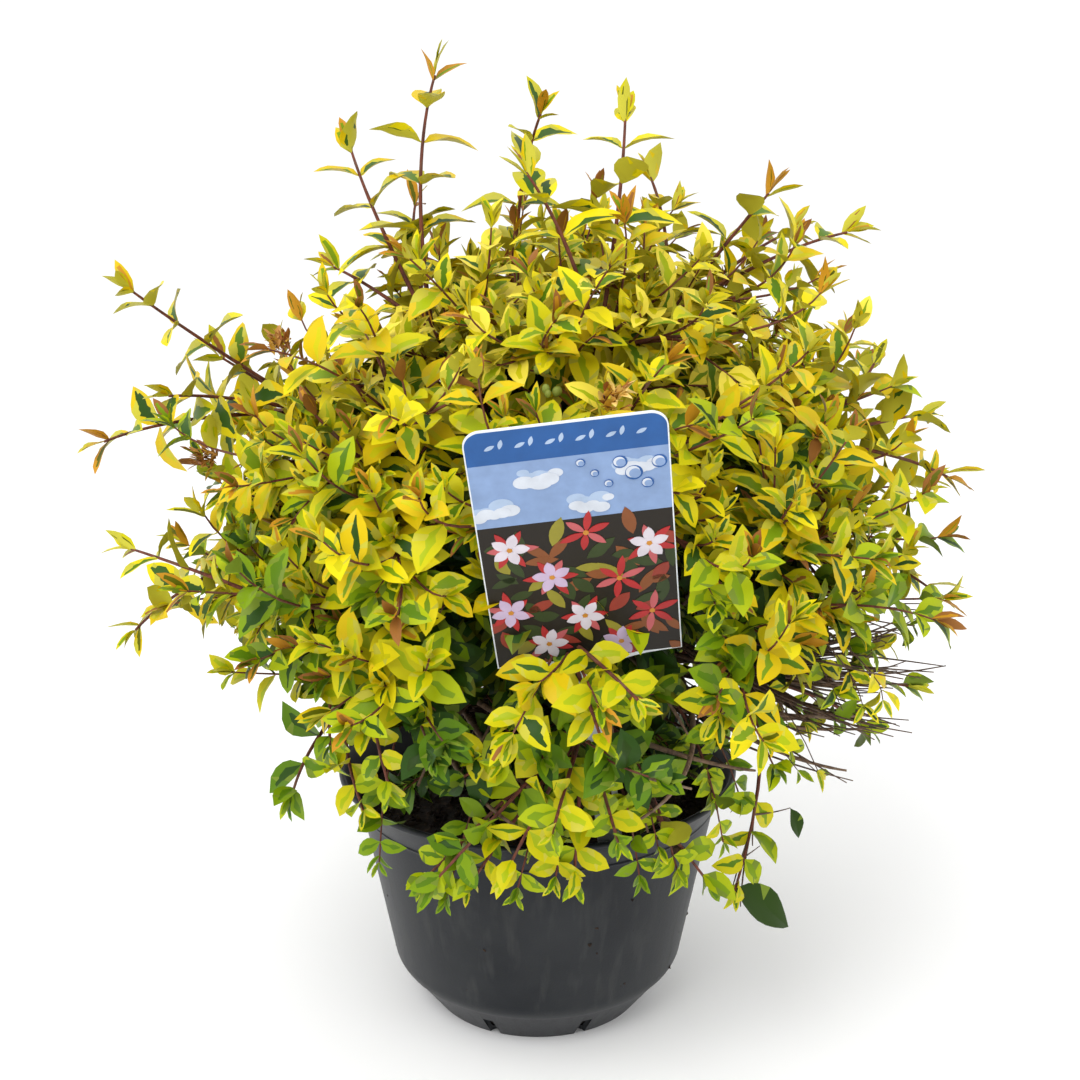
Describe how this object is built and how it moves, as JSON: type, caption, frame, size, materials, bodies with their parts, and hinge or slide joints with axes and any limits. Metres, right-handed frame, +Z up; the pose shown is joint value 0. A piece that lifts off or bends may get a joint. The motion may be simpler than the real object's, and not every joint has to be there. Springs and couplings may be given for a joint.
{
  "type": "potted variegated glossy abelia shrub",
  "caption": "Rounded variegated shrub with long leafy shoots, standing in a low tapered plastic nursery pot with a picture label.",
  "frame": {"origin": "centre of the flat underside of the pot", "axes": "+Z up; -Y towards the side that the label faces; +X to the right of that view"},
  "size_m": [0.5357, 0.4705, 0.6146],
  "materials": {
    "pot_plastic": "dark slate grey moulded plastic, scuffed and dusty",
    "potting_soil": "dark brown moist compost",
    "label_plastic": "printed glossy plastic card",
    "bark": "grey brown peeling bark",
    "young_bark": "smooth reddish brown young bark",
    "foliage": "glossy leaves, yellow margins round green centres"
  },
  "bodies": {
    "root": {"pot": "pot_plastic", "potting_soil": "potting_soil", "plant_label": "label_plastic", "old_cane": "bark", "stem_1": "bark", "stem_2": "bark", "stem_3": "bark", "stem_4": "bark", "stem_5": "bark", "stem_6": "bark", "bough_top_1": "young_bark", "bough_top_2": "young_bark", "bough_top_3": "young_bark", "bough_top_4": "young_bark", "bough_upper_1": "young_bark", "bough_upper_2": "young_bark", "bough_upper_3": "young_bark", "bough_upper_4": "young_bark", "bough_upper_5": "young_bark", "bough_upper_6": "young_bark", "bough_middle_1": "young_bark", "bough_middle_2": "young_bark", "bough_middle_3": "young_bark", "bough_middle_4": "young_bark", "bough_middle_5": "young_bark", "bough_middle_6": "young_bark", "bough_middle_7": "young_bark", "bough_lower_1": "young_bark", "bough_lower_2": "young_bark", "bough_lower_3": "young_bark", "bough_lower_4": "young_bark", "bough_lower_5": "young_bark", "foliage_top_1": "foliage", "foliage_top_2": "foliage", "foliage_top_3": "foliage", "foliage_top_4": "foliage", "foliage_upper_1": "foliage", "foliage_upper_2": "foliage", "foliage_upper_3": "foliage", "foliage_upper_4": "foliage", "foliage_upper_5": "foliage", "foliage_upper_6": "foliage", "foliage_middle_1": "foliage", "foliage_middle_2": "foliage", "foliage_middle_3": "foliage", "foliage_middle_4": "foliage", "foliage_middle_5": "foliage", "foliage_middle_6": "foliage", "foliage_middle_7": "foliage", "foliage_lower_1": "foliage", "foliage_lower_2": "foliage", "foliage_lower_3": "foliage", "foliage_lower_4": "foliage", "foliage_lower_5": "foliage"}
  },
  "joints": []
}
